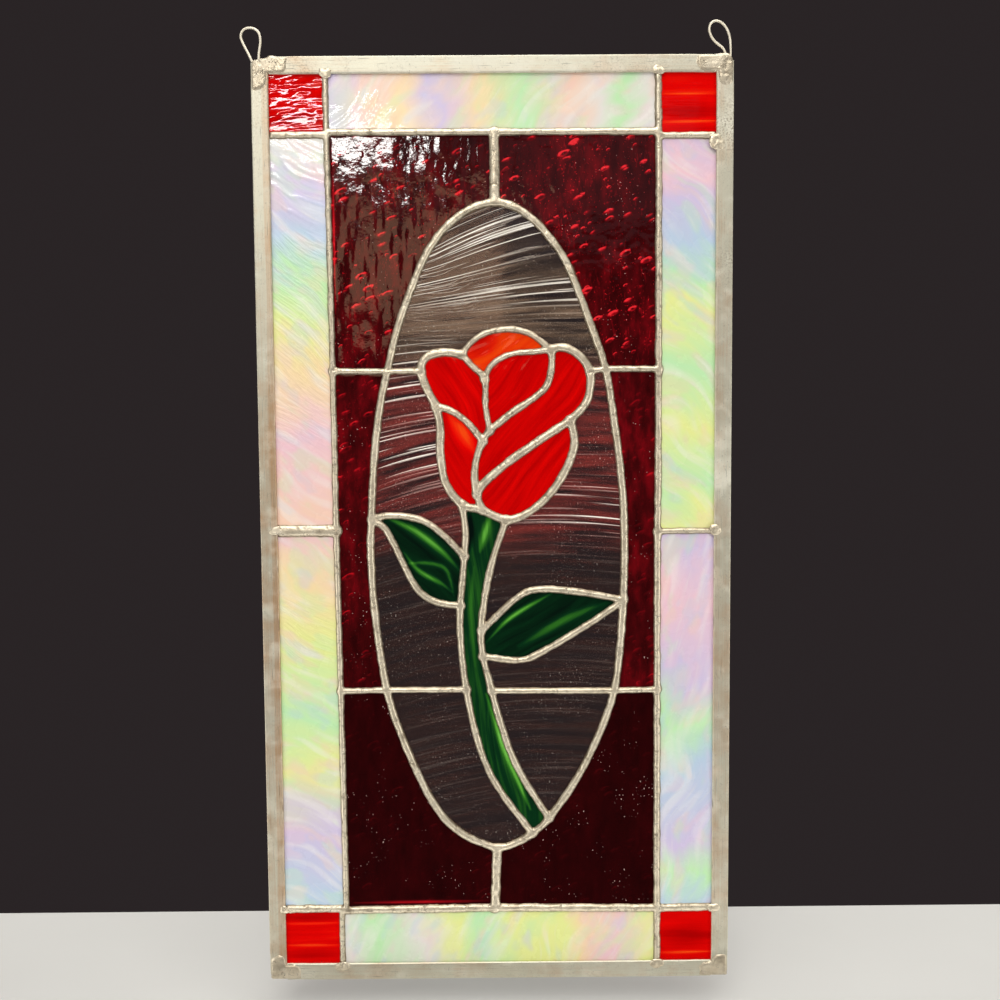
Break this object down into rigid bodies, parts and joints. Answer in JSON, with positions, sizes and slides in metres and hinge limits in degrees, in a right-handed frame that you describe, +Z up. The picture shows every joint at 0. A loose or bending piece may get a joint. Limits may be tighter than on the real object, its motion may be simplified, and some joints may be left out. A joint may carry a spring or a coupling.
{
  "type": "stained glass window panel",
  "caption": "Hanging stained glass panel: a red rose in a clear oval, dark ruby glass round it, an opal border with red corner squares, in a zinc frame with wire loops.",
  "frame": {"origin": "the hanging point: midway between the two wire loops, about 2 mm below the mean height of the insides of their tops, where the middle of a hook or cord in them lies, in the middle of the panel's thickness", "axes": "+Z up, +X to the right of someone who faces the front, and the front faces -Y"},
  "size_m": [0.2598, 0.0086, 0.5185],
  "materials": {
    "red_glass": "streaky red cathedral glass, glossy, slightly rippled",
    "orange_glass": "streaky red and orange glass, glossy",
    "opal_glass": "white opal glass with a pastel iridised face",
    "ruby_glass": "very dark ruby glass, hammered at the top and smooth below",
    "clear_glass": "clear baroque glass with swept ridges",
    "green_glass": "dark green streaky glass with light wisps",
    "zinc": "zinc came, satin, softly tarnished",
    "solder": "tin and lead solder, rounded and uneven, satin",
    "tinned_wire": "tinned copper wire"
  },
  "bodies": {
    "root": {"corner_glass_top_left": "red_glass", "corner_glass_top_right": "red_glass", "corner_glass_bottom_left": "red_glass", "corner_glass_bottom_right": "red_glass", "petal_left": "red_glass", "petal_centre": "red_glass", "petal_right": "red_glass", "petal_lower_left": "red_glass", "petal_lower_right": "red_glass", "petal_back": "orange_glass", "border_glass_top": "opal_glass", "border_glass_bottom": "opal_glass", "border_glass_left_upper": "opal_glass", "border_glass_left_lower": "opal_glass", "border_glass_right_upper": "opal_glass", "border_glass_right_lower": "opal_glass", "ruby_glass_top_left": "ruby_glass", "ruby_glass_top_right": "ruby_glass", "ruby_glass_left": "ruby_glass", "ruby_glass_right": "ruby_glass", "ruby_glass_bottom_left": "ruby_glass", "ruby_glass_bottom_right": "ruby_glass", "clear_glass_top": "clear_glass", "clear_glass_left_upper": "clear_glass", "clear_glass_right_upper": "clear_glass", "clear_glass_left_lower": "clear_glass", "clear_glass_right_lower": "clear_glass", "clear_glass_bottom_left": "clear_glass", "clear_glass_bottom_right": "clear_glass", "leaf_left": "green_glass", "leaf_right": "green_glass", "stem": "green_glass", "frame_left": "zinc", "frame_right": "zinc", "frame_top": "zinc", "frame_bottom": "zinc", "solder_lines": "solder", "corner_solder_top_left": "solder", "corner_solder_top_right": "solder", "corner_solder_bottom_left": "solder", "corner_solder_bottom_right": "solder", "hanging_loop_left": "tinned_wire", "hanging_loop_right": "tinned_wire"}
  },
  "joints": []
}
